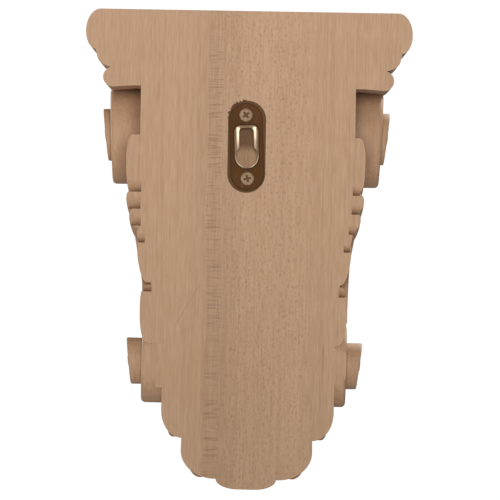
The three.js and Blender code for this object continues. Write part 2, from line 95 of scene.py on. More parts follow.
class CorbelBlockSizes(bpy.types.PropertyGroup):
    height: length("Height", 228.4, "Overall height of the corbel")
    cap_width: length("Cap width", 156.0, "Width of the cap at its big round")
    depth: length("Depth", 114.0, "How far the cap reaches from the wall")
    round_height: length("Round height", 19.2, "Height of the big round at the top of the cap")
    round_crown: length("Round crown", 7.0, "How far the top edge of the big round falls back")
    round_projection: length("Round projection", 4.8, "How far the big round stands out past the fillet")
    fillet_height: length("Fillet height", 3.2, "Height of the flat below the big round")
    ovolo_height: length("Hollow height", 5.3, "Height of the hollow below the fillet")
    ovolo_projection: length("Hollow projection", 7.2, "How far the hollow steps in")
    bead_radius: length("Bead radius", 4.7, "Radius of the bead at the foot of the cap")
    bead_inset: length("Bead inset", 8.5, "How far the bead's face lies inside the big round")
    underside_rise: length("Underside rise", 0.7, "How far the cap's underside rises towards the body")
    body_width_top: length("Body width, top", 102.6, "Width of the sunk body under the cap")
    body_width_foot: length("Body width, foot", 88.0, "Width of the sunk body at the lower roll")
    band_width_top: length("Band width, top", 104.0, "Width of the front band at the upper roll")
    band_width_foot: length("Band width, foot", 98.0, "Width of the front band at the lower roll")
    band_thickness: length("Band thickness", 8.0, "Thickness of the front band")
    edge_width: length("Edge width", 4.2, "Width of the raised edge of the band")
    edge_rise: length("Edge rise", 2.0, "Height of the raised edge of the band")
    console_shift: length("Console shift", 0.7, "How far the upper roll and side leaves sit off the middle")
    foot_lean: FloatProperty(
        name="Foot lean", description="How far the lower roll and the drop are turned",
        default=math.radians(0.5), min=-0.2, max=0.2, subtype="ANGLE")


class CorbelScrollSizes(bpy.types.PropertyGroup):
    upper_radius: length("Upper roll radius", 23.4, "Radius of the upper roll")
    upper_width: length("Upper roll width", 131.8, "Length of the upper roll")
    lower_radius: length("Lower roll radius", 19.8, "Radius of the lower roll")
    lower_width: length("Lower roll width", 97.9, "Length of the lower roll")
    lower_inset: length("Lower roll inset", 18.0, "How far the lower roll's axis is from the wall")
    cap_overhang: length("Cap overhang", 10.4, "How far the cap reaches out past the upper roll")
    upper_button: length("Upper button radius", 12.7, "Radius of the button in the upper eye")
    lower_button: length("Lower button radius", 11.1, "Radius of the button in the lower eye")
    upper_rise: length("Upper button rise", 2.9, "How far the upper button stands out")
    lower_rise: length("Lower button rise", 6.4, "How far the lower button stands out")
    upper_lift: length("Upper button lift", 0.5, "How far the upper eye lies above the roll's axis")
    sunk: length("Upper roll sunk", 0.5, "How far the upper roll is sunk into the cap")
    button_slope: FloatProperty(
        name="Button slope", description="How much the buttons' faces lean in towards the foot",
        default=0.116, min=-1.0, max=1.0)
    roll_taper: FloatProperty(
        name="Roll taper", description="How much the upper roll's ends lean in towards the foot",
        default=0.04, min=-1.0, max=1.0)


class CorbelDropSizes(bpy.types.PropertyGroup):
    height: length("Drop height", 59.9, "From the lower roll's axis to the tip of the drop")
    thickness: length("Drop thickness", 9.0, "Thickness of the drop near its tip")
    belly: length("Drop belly", 13.0, "How much thicker the drop is under the roll")
    shift: length("Drop shift", -2.3, "How far the drop sits off the middle")


class CorbelHangerSizes(bpy.types.PropertyGroup):
    pocket_width: length("Pocket width", 18.1, "Width of the routed pocket")
    pocket_length: length("Pocket length", 43.9, "Length of the routed pocket")
    pocket_depth: length("Pocket depth", 4.6, "Depth of the routed pocket")
    pocket_drop: length("Pocket drop", 64.8, "From the top of the cap to the middle of the pocket")
    pocket_shift: length("Pocket shift", 0.4, "How far the pocket sits off the middle")
    slot_width: length("Slot width", 11.6, "Width of the deeper slot for the wall screw's head")
    slot_length: length("Slot length", 27.0, "Length of the deeper slot")
    slot_depth: length("Slot depth", 13.0, "Depth of the deeper slot")
    plate_margin: length("Plate margin", 1.1, "Gap between the plate and the pocket's wall")
    plate_thickness: length("Plate thickness", 1.0, "Thickness of the plate")
    raised_width: length("Dome width", 12.4, "Width of the raised dome at its foot")
    raised_length: length("Dome length", 21.8, "Length of the raised dome at its foot")
    raised_corner: length("Dome corner", 3.0, "Radius of the dome's upper corners")
    raised_draft: length("Dome draft", 0.4, "How far the dome's sides lean in")
    raised_height: length("Dome height", 2.4, "How far the dome stands up from the plate")
    key_slot_width: length("Key slot width", 7.0, "Width of the keyhole's slot")
    key_slot_top: length("Key slot top", 9.0, "From the plate's middle to the top of the slot")
    key_slot_corner: length("Key slot corner", 2.0, "Radius of the slot's upper corners")
    key_hole_width: length("Key hole width", 10.6, "Width of the keyhole's round entry")
    key_hole_drop: length("Key hole drop", 4.4, "From the plate's middle down to the middle of the entry")
    screw_spacing: length("Screw spacing", 30.4, "Between the two screws")
    screw_head: length("Screw head radius", 3.4, "Radius of the screw heads")
    screw_head_height: length("Screw head height", 2.0, "Height of the screw heads")
    screw_shank: length("Screw shank radius", 1.6, "Radius of the screw shanks")
    screw_length: length("Screw length", 15.0, "Length of the screws")
    clearance: length("Clearance", 0.3, "Gap kept between pieces that meet")
    tilt: FloatProperty(
        name="Plate tilt", description="How far the plate is turned in its pocket",
        default=math.radians(2.1), min=-0.2, max=0.2, subtype="ANGLE")


class CorbelFinish(bpy.types.PropertyGroup):
    wood: colour("Wood", (0.515, 0.321, 0.196), "Main colour of the wood")
    grain: colour("Grain", (0.375, 0.226, 0.134), "Colour of the darker grain lines")
    pores: colour("Pores", (0.235, 0.13, 0.075), "Colour of the pores and ray flecks")
    # The plate's colour is also the colour of the painted shade in the wood's pocket and in the screws'
    # recesses
    plate: colour("Plate", (0.1, 0.044, 0.014), "Colour of the coated hanger plate")
    # Worn metal is also the colour of the painted highlight on the hanger's dome and keyhole edges
    bright: colour("Worn metal", (0.62, 0.48, 0.34), "Colour of the metal where the coating has worn")
    screw: colour("Screw", (0.34, 0.22, 0.13), "Colour of the screw heads")
    studio: colour("Studio", (0.9, 0.89, 0.88), "Colour of the floor")


class Sizes:
    """The values of a property group: lengths in millimetres, and angles and slopes as they are."""

    def __init__(self, group):
        for name in group.__annotations__:
            value = getattr(group, name)
            plain = group.bl_rna.properties[name].subtype != "DISTANCE"
            setattr(self, name, value if plain else value / MM)


# Meshes

def at(x, u, z):
    """A place in metres from x across, u forward from the wall and z up, in millimetres."""
    return Vector((x, -u, z)) * MM


def held(value, low=0.0, high=1.0):
    """The value, or the limit that it would pass."""
    return min(max(value, low), high)


def curve_at(t, *holds):
    """The place at a share t of a smooth curve between the first and the last hold."""
    while len(holds) > 1:
        holds = [a * (1 - t) + b * t for a, b in zip(holds, holds[1:])]
    return holds[0]


def arc(centre, reach, start, end, steps):
    """Points from one angle to another round an ellipse, whose half-widths are its reach."""
    turns = [start + (end - start) * i / steps for i in range(steps + 1)]
    return [
        (centre[0] + reach[0] * math.cos(turn), centre[1] + reach[1] * math.sin(turn))
        for turn in turns]


def circle(centre, radius, sides):
    return arc(centre, (radius, radius), 0, 2 * math.pi, sides)[:-1]


def clear_selection():
    if bpy.context.object and bpy.context.object.mode != "OBJECT":
        bpy.ops.object.mode_set(mode="OBJECT")
    bpy.ops.object.select_all(action="DESELECT")


def make_active(piece):
    clear_selection()
    piece.select_set(True)
    bpy.context.view_layer.objects.active = piece
    return piece


def named_active(name):
    piece = bpy.context.object
    piece.name = name
    piece.data.name = name
    return piece


def settle(piece):
    """Puts the object's place into its mesh."""
    make_active(piece)
    bpy.ops.object.transform_apply(location=True, rotation=True, scale=True)
    return piece


@contextmanager
def editing(piece):
    """Edit mode on the piece, for the operators in the block."""
    make_active(piece)
    bpy.ops.object.mode_set(mode="EDIT")
    yield
    bpy.ops.object.mode_set(mode="OBJECT")


def pick(piece, elements, test):
    """In edit mode, selects only those verts or faces that pass the test."""
    bpy.ops.mesh.select_all(action="DESELECT")
    shell = bmesh.from_edit_mesh(piece.data)
    for element in filter(test, getattr(shell, elements)):
        element.select = True
    bmesh.update_edit_mesh(piece.data)


def face_outwards():
    """In edit mode, turns all faces outwards."""
    bpy.ops.mesh.select_all(action="SELECT")
    bpy.ops.mesh.normals_make_consistent(inside=False)


def box(name, size, place=(0, 0, 0), turn=(0, 0, 0)):
    """A box about a place, its size and place given as (x, u, z) in millimetres."""
    clear_selection()
    bpy.ops.mesh.primitive_cube_add(size=1, location=at(*place), rotation=turn)
    piece = named_active(name)
    piece.scale = Vector(size) * MM
    return settle(piece)


def rod(name, radius, reach, place, turn, sides):
    """A round bar about a place, turned from upright."""
    clear_selection()
    bpy.ops.mesh.primitive_cylinder_add(
        vertices=sides, radius=radius * MM, depth=reach * MM, location=at(*place), rotation=turn)
    return settle(named_active(name))


def apply_modifier(piece, kind, **settings):
    make_active(piece)
    modifier = piece.modifiers.new(kind.title(), kind)
    for key, value in settings.items():
        setattr(modifier, key, value)
    bpy.ops.object.modifier_apply(modifier=modifier.name)
    return piece


def soften(piece, width, segments=2, angle=40.0):
    """Takes the arris off every edge that is sharper than the angle."""
    return apply_modifier(
        piece, "BEVEL", width=width * MM, segments=segments, limit_method="ANGLE",
        angle_limit=math.radians(angle), use_clamp_overlap=True, harden_normals=False)


def loft(name, rings):
    """A closed skin over rings of points (x, u, z) in millimetres that all have the same count."""
    count = len(rings[0])
    points = [at(*p) for ring in rings for p in ring]
    faces = []
    for r in range(len(rings) - 1):
        for k in range(count):
            a, b = r * count + k, r * count + (k + 1) % count
            faces.append((a, b, b + count, a + count))
    faces.append(tuple(range(count)))
    faces.append(tuple(reversed(range(len(points) - count, len(points)))))
    mesh = bpy.data.meshes.new(name)
    mesh.from_pydata(points, [], faces)
    shell = bmesh.new()
    shell.from_mesh(mesh)
    bmesh.ops.recalc_face_normals(shell, faces=shell.faces)
    bmesh.ops.triangulate(shell, faces=[f for f in shell.faces if len(f.verts) > 4])
    shell.to_mesh(mesh)
    shell.free()
    piece = bpy.data.objects.new(name, mesh)
    bpy.context.scene.collection.objects.link(piece)
    return piece


def combine(piece, others, operation="UNION"):
    """Joins the others to the piece, or cuts them out of it, and uses them up."""
    batch = bpy.data.collections.new("Batch")
    bpy.context.scene.collection.children.link(batch)
    for other in others:
        for home in list(other.users_collection):
            home.objects.unlink(other)
        batch.objects.link(other)
    apply_modifier(
        piece, "BOOLEAN", operation=operation, solver="MANIFOLD",
        operand_type="COLLECTION", collection=batch)
    for other in list(batch.objects):
        bpy.data.objects.remove(other)
    bpy.data.collections.remove(batch)
    return piece


def mirrored(piece):
    """A copy of the piece on the other side of the middle, with its own mesh."""
    copy = piece.copy()
    copy.data = piece.data.copy()
    bpy.context.scene.collection.objects.link(copy)
    copy.data.transform(Matrix.Diagonal((-1, 1, 1, 1)))
    copy.data.flip_normals()
    return copy


def moved(piece, x=0.0, u=0.0, z=0.0):
    piece.data.transform(Matrix.Translation(at(x, u, z)))
    return piece


def slot_block(name, width, top, bottom, u0, u1, corner=None, segments=16):
    """An upright block with a round foot and a round or squarer head, reaching from u0 to u1.

    Its head is top above the centre and its foot bottom below it. corner is the radius of the
    head's corners.
    """
    clear_selection()
    bpy.ops.mesh.primitive_plane_add(
        size=1, location=at(0, u0, (top - bottom) / 2), rotation=FORWARD)
    piece = named_active(name)
    piece.scale = (width * MM, (top + bottom) * MM, 1)
    settle(piece)
    # A little less than half of the width, so that the two corners don't meet
    full = width / 2 * 0.998
    with editing(piece):
        for outer, radius in ((max, min(corner or full, full)), (min, full)):
            edge = outer(v.co.z for v in bmesh.from_edit_mesh(piece.data).verts)
            pick(piece, "verts", lambda v: abs(v.co.z - edge) < 1e-7)
            bpy.ops.mesh.bevel(offset=radius * MM, segments=segments, affect="VERTICES")
        bpy.ops.mesh.select_all(action="SELECT")
        bpy.ops.mesh.extrude_region_move(TRANSFORM_OT_translate={"value": (0, -(u1 - u0) * MM, 0)})
        face_outwards()
    return piece


def turned(name, profile, sides=48):
    """A round piece about the Y axis through the origin, from points (radius, u) in millimetres."""
    return loft(name, [[(x, u, z) for x, z in circle((0, 0), radius, sides)] for radius, u in profile])


def smooth(piece, degrees=38.0):
    make_active(piece)
    bpy.ops.object.shade_smooth_by_angle(angle=math.radians(degrees))
    return piece


def finish_piece(piece, material, slot, *nodes):
    piece.data.materials.clear()
    piece.data.materials.append(material)
    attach(piece, BODY)
    if nodes:
        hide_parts(*nodes)
    return piece


# Lay-out that the cap, the console and the leaves share

class Layout:
    """Places and curves that follow from the sizes, in millimetres."""

    def __init__(self, context):
        self.block = Sizes(context.scene.corbel_block)
        self.scroll = Sizes(context.scene.corbel_scrolls)
        self.drop = Sizes(context.scene.corbel_drop)
        self.hanger = Sizes(context.scene.corbel_hanger)
        b, s = self.block, self.scroll
        self.top = b.height / 2
        self.foot = -b.height / 2
        moulding = b.round_height + b.fillet_height + b.ovolo_height + 2 * b.bead_radius
        self.cap_base = self.top - moulding + b.underside_rise
        self.upper = Vector((
            b.depth - s.cap_overhang - s.upper_radius, self.cap_base + s.sunk - s.upper_radius))
        self.lower = Vector((s.lower_inset, self.foot + self.drop.height))
        self.span = self.upper.y - self.lower.y
        self.front_points, self.front_lengths = self.front_line()
        self.front_length = self.front_lengths[-1]

    def front_line(self):
        """Points of the front edge seen from the side, and the length of the edge up to each."""
        radius = self.scroll.upper_radius
        start, tuck = math.radians(72), math.radians(-25)
        points = [Vector(p) for p in arc(self.upper, (radius, radius), start, tuck, 60)]
        crease = self.lower + self.scroll.lower_radius * Vector((0.42, 1.02))
        leave = points[-1]
        pull = leave + self.span * 0.34 * Vector((math.sin(tuck), -math.cos(tuck)))
        hold = crease + Vector((-1, self.span * 0.36))
        points += [curve_at(i / 160, leave, pull, hold, crease) for i in range(1, 161)]
        lengths = [0.0]
        for before, after in zip(points, points[1:]):
            lengths.append(lengths[-1] + (after - before).length)
        return points, lengths

    def on_front(self, x, s, h):
        """A place on the front: x across, s along the edge down from the cap, h out from it."""
        kept = held(s, 0.0, self.front_length)
        high = bisect_right(self.front_lengths, kept, 1, len(self.front_lengths) - 1)
        low = high - 1
        a, b = self.front_points[low], self.front_points[high]
        share = (kept - self.front_lengths[low]) / (self.front_lengths[high] - self.front_lengths[low])
        before = self.front_points[max(low - 1, 0)]
        after = self.front_points[min(high + 1, len(self.front_points) - 1)]
        along = ((b - before) * (1 - share) + (after - a) * share).normalized()
        p = a.lerp(b, share) + along * (s - kept)
        return (x, p.x - along.y * h, p.y + along.x * h)

    def half_width(self, z, top, foot):
        """Half of a width that goes from top to foot over the middle of the span."""
        t = held(((self.upper.y - z) / self.span - 0.2) / 0.6)
        return (top + (foot - top) * t * t * (3 - 2 * t)) / 2

    def body_half(self, z):
        return self.half_width(z, self.block.body_width_top, self.block.body_width_foot)

    def band_half(self, z):
        return self.half_width(z, self.block.band_width_top, self.block.band_width_foot)

    def on_side(self, a, b, h):
        """A place on the +X side: a forward from the wall, b up, h out from the sunk body."""
        return (self.body_half(b) + h, a, b)

    def belly(self, down):
        """How far the drop's face is from the wall, down from the lower roll's axis."""
        d = self.drop
        t = held(down / d.height)
        return curve_at(t, d.thickness + d.belly, d.thickness, d.thickness + 1)

    def on_drop(self, a, b, h):
        """A place on the drop's face: a across, b down from the lower roll's axis, h out."""
        return (a, self.belly(b) + h, self.lower.y - b)


def finger(
        name, place, root, tip, width, rise, bow=0.0, root_share=0.45, widest=0.62, full=1.0, vein=0.0,
        stations=18, segments=12):
    """A leaf finger that runs from its root to its tip over a surface.

    place(a, b, h) gives a point of that surface. bow bends the finger to its left, root_share is
    its width at the root as a share, and widest is where it is at full width. full below 1
    squares its round back, and vein sinks a line along the middle.
    """
    root, tip = Vector(root), Vector(tip)
    path = tip - root
    side = Vector((-path.y, path.x)).normalized()
    bend = root + path * 0.5 + side * bow * 2
    rings = []
    for i in range(stations + 1):
        t = math.sin(i / stations * math.pi / 2)
        if t < widest:
            swell = root_share + (1 - root_share) * math.sin(t / widest * math.pi / 2)
        else:
            swell = math.sqrt(max(0.004, 1 - ((t - widest) / (1 - widest)) ** 2))
        p = curve_at(t, root, bend, tip)
        along = curve_at(t, bend - root, tip - bend).normalized()
        w, h = width / 2 * swell, rise * (0.35 + 0.65 * swell)
        ring = []
        for k in range(segments + 1):
            a = k / segments * math.pi
            across = w * math.cos(a)
            sunk = 1 - vein * math.exp(-(math.cos(a) / 0.2) ** 2)
            up = h * max(0.0, math.sin(a)) ** full * sunk
            ring.append(place(p.x - along.y * across, p.y + along.x * across, up))
        for across in (-w, w):
            ring.append(place(p.x - along.y * across, p.y + along.x * across, -BURIED))
        rings.append(ring)
    return loft(name, rings)


# Operators: the block

class CORBEL_OT_cap(bpy.types.Operator):
    """Makes the cap: a plane carried down through the moulding's profile, in and out at each step"""
    bl_idname = "corbel.cap"
    bl_label = "Cap"

    def execute(self, context):
        lay = Layout(context)
        b = lay.block
        profile = self.profile(lay)
        clear_selection()
        x, z = profile[0]
        half, reach = b.cap_width / 2 + x, b.depth + x
        bpy.ops.mesh.primitive_plane_add(size=1, location=at(0, (reach - BURIED) / 2, z))
        cap = named_active("cap")
        cap.scale = (2 * half * MM, (reach + BURIED) * MM, 1)
        settle(cap)
        with editing(cap):
            bpy.ops.mesh.select_all(action="SELECT")
            for x, next_z in profile[1:]:
                next_half, next_reach = b.cap_width / 2 + x, b.depth + x
                bpy.ops.mesh.extrude_region_move(
                    TRANSFORM_OT_translate={"value": (0, 0, (next_z - z) * MM)})
                bpy.ops.transform.resize(
                    value=(next_half / half, next_reach / reach, 1),
                    center_override=(0, 0, next_z * MM))
                z, half, reach = next_z, next_half, next_reach
            face_outwards()
        soften(cap, 0.35, 2, 50)
        return {"FINISHED"}

    def profile(self, lay):
        """The moulding from the top down: how far out from the widest line, and the height."""
        b = lay.block
        quarter = math.pi / 2
        crown = b.round_height * 0.55
        points = arc((-b.round_crown, lay.top - crown), (b.round_crown, crown), quarter, 0, 12)
        points += arc(
            (-b.round_projection, lay.top - crown), (b.round_projection, b.round_height - crown),
            0, -quarter, 12)[1:]
        z = lay.top - b.round_height - b.fillet_height
        start = Vector((-b.round_projection - 0.7, z))
        pull = Vector((-b.round_projection - 1, z - b.ovolo_height * 0.7))
        end = Vector((-b.round_projection - b.ovolo_projection, z - b.ovolo_height))
        points += [curve_at(i / 8, start, pull, end) for i in range(9)]
        z -= b.ovolo_height + b.bead_radius
        points += arc(
            (-b.bead_inset - b.bead_radius, z), (b.bead_radius, b.bead_radius),
            quarter * 0.82, -quarter, 14)
        points.append((-b.bead_inset - 3 * b.bead_radius, lay.cap_base))
        return points


class CORBEL_OT_console(bpy.types.Operator):
    """Makes the sunk body, the band down the front and the band's raised edges"""
    bl_idname = "corbel.console"
    bl_label = "Console"

    def execute(self, context):
        lay = Layout(context)
        self.body(lay)
        self.band(lay)
        mirrored(self.band_edge(lay)).name = "band_edge_left"
        return {"FINISHED"}

    def body(self, lay):
        """The sunk body, whose level slices follow the front down to the lower roll."""
        b = lay.block
        top = b.body_width_top / 2
        rings = [self.slice(top, lay.upper.x, z) for z in (lay.cap_base + BURIED, lay.cap_base)]
        rows = 56
        for i in range(rows + 1):
            _, u, z = lay.on_front(0, i / rows * lay.front_length, -b.band_thickness / 2)
            if z < lay.cap_base - 0.05:
                rings.append(self.slice(lay.body_half(z), u, z))
        # The last slice lies inside the lower roll, and is a little narrower
        narrower, down = 1.6, lay.scroll.lower_radius * 0.6
        foot = b.body_width_foot / 2 - narrower
        rings.append(self.slice(foot, lay.lower.x, lay.lower.y - down))
        return loft("web", rings)

    def slice(self, half, reach, z):
        """A level slice of the body, which starts behind the wall's plane."""
        return [(-half, -BURIED, z), (half, -BURIED, z), (half, reach, z), (-half, reach, z)]

    def stations(self, lay):
        """Places along the front, from the cap down, and half of the band's width at each."""
        steps = 90
        for i in range(steps + 1):
            s = i / steps * lay.front_length
            yield s, lay.band_half(lay.on_front(0, s, 0)[2])

    def band(self, lay):
        back = -lay.block.band_thickness
        return loft("band", [
            [lay.on_front(x, s, h) for x, h in ((-w, 0), (w, 0), (w, back), (-w, back))]
            for s, w in self.stations(lay)])

    def band_edge(self, lay):
        """The raised edge on the +X side, an arch that stands a little past the band."""
        b = lay.block
        past, sides = 0.3, 8
        rings = []
        for s, half in self.stations(lay):
            w = half + past
            ring = [lay.on_front(w - b.edge_width, s, -BURIED)]
            for k in range(sides + 1):
                a = math.pi * (1 - k / sides)
                across = w - b.edge_width / 2 + b.edge_width / 2 * math.cos(a)
                up = b.edge_rise * max(0.0, math.sin(a)) ** 0.7
                ring.append(lay.on_front(across, s, up))
            ring.append(lay.on_front(w, s, -BURIED))
            rings.append(ring)
        return loft("band_edge", rings)


class CORBEL_OT_scrolls(bpy.types.Operator):
    """Makes both rolls, with their winding grooves and the buttons in their eyes"""
    bl_idname = "corbel.scrolls"
    bl_label = "Scrolls"

    def execute(self, context):
        lay = Layout(context)
        s = lay.scroll
        upper_eye = lay.upper + Vector((0, s.upper_lift))
        upper = self.roll("upper_roll", lay.upper, s.upper_radius, s.upper_width, s.roll_taper)
        self.carve(upper, lay.upper, s.upper_radius, s.upper_width, s.upper_button, 1)
        self.add_buttons(upper, upper_eye, s.upper_button, s.upper_width, s.upper_rise, s.button_slope)
        moved(upper, lay.block.console_shift)
        lower = self.roll("lower_roll", lay.lower, s.lower_radius, s.lower_width)
        self.carve(lower, lay.lower, s.lower_radius, s.lower_width, s.lower_button, -1)
        self.add_buttons(lower, lay.lower, s.lower_button, s.lower_width, s.lower_rise, s.button_slope)
        return {"FINISHED"}

    def roll(self, name, centre, radius, width, taper=0.0):
        piece = rod(name, radius, width, (0, centre.x, centre.y), ACROSS, 112)
        soften(piece, 2.0, 5)
        for vertex in piece.data.vertices:
            vertex.co.x *= 1 + taper * (vertex.co.z / MM - centre.y) / (width / 2)
        return piece

    def carve(self, roll, centre, radius, width, button, sense):
        """Cuts the winding groove into both ends with a round gouge."""
        steps, sides = 84, 12
        turns, gouge = 1.15, 2.1
        first = math.pi * 1.1
        start, end = radius - 5, button + 0.6
        rings = []
        for i in range(steps + 1):
            t = i / steps
            turn = first + sense * turns * 2 * math.pi * t
            r = start + (end - start) * t ** 0.8
            size = gouge * (0.5 + 0.5 * math.sqrt(max(0.0, math.sin(math.pi * min(1.0, t * 2)))))
            rings.append([
                (out, centre.x + far * math.cos(turn), centre.y + far * math.sin(turn))
                for far, out in circle((r, width / 2 + 0.4), size, sides)])
        groove = loft("groove", rings)
        combine(roll, [groove, mirrored(groove)], "DIFFERENCE")

    def add_buttons(self, roll, eye, radius, width, rise, slope):
        """A button with a dished ring and a small boss, its face leaning in towards the foot."""
        face = width / 2 + rise
        inner = width / 2 - BURIED
        piece = rod("button", radius, face - inner, ((face + inner) / 2, eye.x, eye.y), ACROSS, 72)
        with editing(piece):
            pick(piece, "faces", lambda f: f.normal.x > 0.9)
            # Each step's inset as a share of the radius, and how far the face then moves out
            for inset, out in ((0.56, 0.0), (0.09, -1.2), (0.13, 1.6)):
                bpy.ops.mesh.inset(thickness=radius * inset * MM, depth=0)
                bpy.ops.transform.translate(value=(out * MM, 0, 0))
        for vertex in piece.data.vertices:
            if vertex.co.x > (width / 2 + 0.5) * MM:
                vertex.co.x += (vertex.co.z - eye.y * MM) * slope
        soften(piece, 0.7, 3, 30)
        combine(roll, [piece, mirrored(piece)])


# Operators: the leaves

class CORBEL_OT_front_leaf(bpy.types.Operator):
    """Carves the front leaf: pairs of lobes down a midrib, each a fan of three fingers"""
    bl_idname = "corbel.front_leaf"
    bl_label = "Front leaf"

    def execute(self, context):
        lay = Layout(context)
        carving = {"full": 0.85, "vein": 0.3, "segments": 18}
        # Each finger's angle from the midrib in degrees, its share of the lobe's reach, and its width
        fan = ((80, 0.95, 15), (57, 1.08, 17), (34, 1.0, 15))
        pods = []
        lobes = 4
        first = lay.front_length * 0.02
        pitch = lay.front_length * 0.185
        for n in range(lobes):
            # Each lobe is shorter and lower than the one above it
            root = Vector((2, first + n * pitch))
            reach = lay.band_half(lay.on_front(0, root.y + pitch, 0)[2]) - 5.5 - n * 2.6
            rise = 6.6 - n * 0.3
            for angle, share, width in fan:
                turn = math.radians(angle)
                tip = root + Vector((math.sin(turn), math.cos(turn) * 0.85)) * reach * share
                pods.append(finger(
                    "leaf_finger", lay.on_front, root, tip, width, rise, bow=2.5, **carving))
        root = Vector((2, first + lobes * pitch))
        for x, run, width in ((22, 22, 11), (12, 29, 11)):
            pods.append(finger(
                "leaf_tip", lay.on_front, root, (x, root.y + run), width, 6, bow=2, **carving))
        pods += [mirrored(pod) for pod in pods]
        midrib = finger(
            "midrib", lay.on_front, (0, 1), (0, lay.front_length + 3), 9, 8, root_share=0.9,
            stations=60, segments=16)
        combine(midrib, pods).name = "front_leaf"
        return {"FINISHED"}


class CORBEL_OT_side_leaves(bpy.types.Operator):
    """Carves the side leaves: fingers that fan from a rib to the wall, and short ones forward of it"""
    bl_idname = "corbel.side_leaves"
    bl_label = "Side leaves"

    def execute(self, context):
        lay = Layout(context)
        s = lay.scroll
        root = lay.lower + Vector((4, s.lower_radius + 2))
        crown = lay.upper + Vector((-22, -s.upper_radius * 0.5))

        def rib(t):
            return root.lerp(crown, t) + Vector((-7 * math.sin(math.pi * t), 0))

        pods = []
        # The heights of each finger's edges at the wall, how far it stands out, and where it starts
        to_wall = (
            (55, 30.6, 5.8, 0.78), (28.8, 20.6, 5.9, 0.6), (19.8, 11.6, 5.4, 0.5),
            (10.6, 3.4, 2.8, 0.41), (2.4, -16.6, 4.0, 0.32), (-20.4, -49, 5.5, 0.06))
        for n, (high, low, rise, start) in enumerate(to_wall):
            past = 6 + (high - low) * 0.2
            tip = (-past, (high + low) / 2 + past * 0.6)
            pods.append(finger(
                "side_finger", lay.on_side, rib(start), tip, high - low, rise, bow=4, root_share=0.25,
                widest=0.8, full=0.6 if n else 0.32, segments=20))
        # Where each short finger starts, and how far it runs forward and up
        for start, reach, climb in ((0.3, 12, 16), (0.5, 16, 19), (0.7, 19, 18), (0.88, 20, 12)):
            foot = rib(start)
            pods.append(finger(
                "front_finger", lay.on_side, foot, foot + Vector((reach, climb)), 9, 4, bow=-2,
                root_share=0.3))
        spine = finger(
            "side_leaf", lay.on_side, root, crown, 6, 4.6, bow=-5, root_share=0.5, stations=40)
        leaf = combine(spine, pods)
        moved(combine(leaf, [mirrored(leaf)]), lay.block.console_shift).name = "side_leaves"
        return {"FINISHED"}


class CORBEL_OT_leaf_drop(bpy.types.Operator):
    """Carves the leaf drop under the lower roll: three steps of lobes, each with its finger"""
    bl_idname = "corbel.leaf_drop"
    bl_label = "Leaf drop"

    # Each step's width, the width and height of its round corner, and its foot above the drop's tip
    steps = ((82.4, 9.9, 13.3, 24.0), (62.8, 16.4, 13.4, 4.8), (28.8, 10.4, 4.8, 0.0))

    def execute(self, context):
        lay = Layout(context)
        d = lay.drop
        right = []
        for width, corner, rise, bottom in self.steps:
            centre = (width / 2 - corner, lay.foot + bottom + rise)
            right += arc(centre, (corner, -rise), 0, math.pi / 2, 16)
        top = lay.lower.y
        outline = [(self.steps[0][0] / 2, top)] + right
        outline += [(-x, z) for x, z in reversed(outline)]
        leaf = self.prism(lay, outline, d.thickness + d.belly)
        pods = []
        halves = [width / 2 for width, *_ in reversed(self.steps)]
        bottoms = [bottom for *_, bottom in reversed(self.steps)]
        inner = 0.0
        for n, (half, bottom) in enumerate(zip(halves, bottoms)):
            x = (half + inner) / 2 if n else 0.0
            width = half - inner + 2 if n else 2 * half
            pod = finger(
                "drop_finger", lay.on_drop, (x * 0.5, 4), (x, d.height - bottom - 0.5), width, 6.5 - n,
                root_share=0.7, vein=0.1, segments=20)
            pods.append(pod)
            if n:
                pods.append(mirrored(pod))
            inner = half
        moved(combine(leaf, pods), d.shift).name = "leaf_drop"
        return {"FINISHED"}

    def prism(self, lay, outline, reach):
        """The outline carried forward from the wall to the belly's curve."""
        rings = [[(x, -BURIED, z) for x, z in outline], [(x, reach, z) for x, z in outline]]
        piece = loft("drop_block", rings)
        steps = 24
        downs = [lay.drop.height * i / steps for i in range(steps + 1)]
        side = [(lay.belly(down) - 1, lay.lower.y - down) for down in downs]
        side += [(-BURIED, lay.foot), (-BURIED, lay.lower.y)]
        half = self.steps[0][0] / 2 + 1
        bulk = loft("drop_bulk", [[(x, u, z) for u, z in side] for x in (-half, half)])
        return combine(piece, [bulk], "INTERSECT")


# Operators: the joined block and its pocket

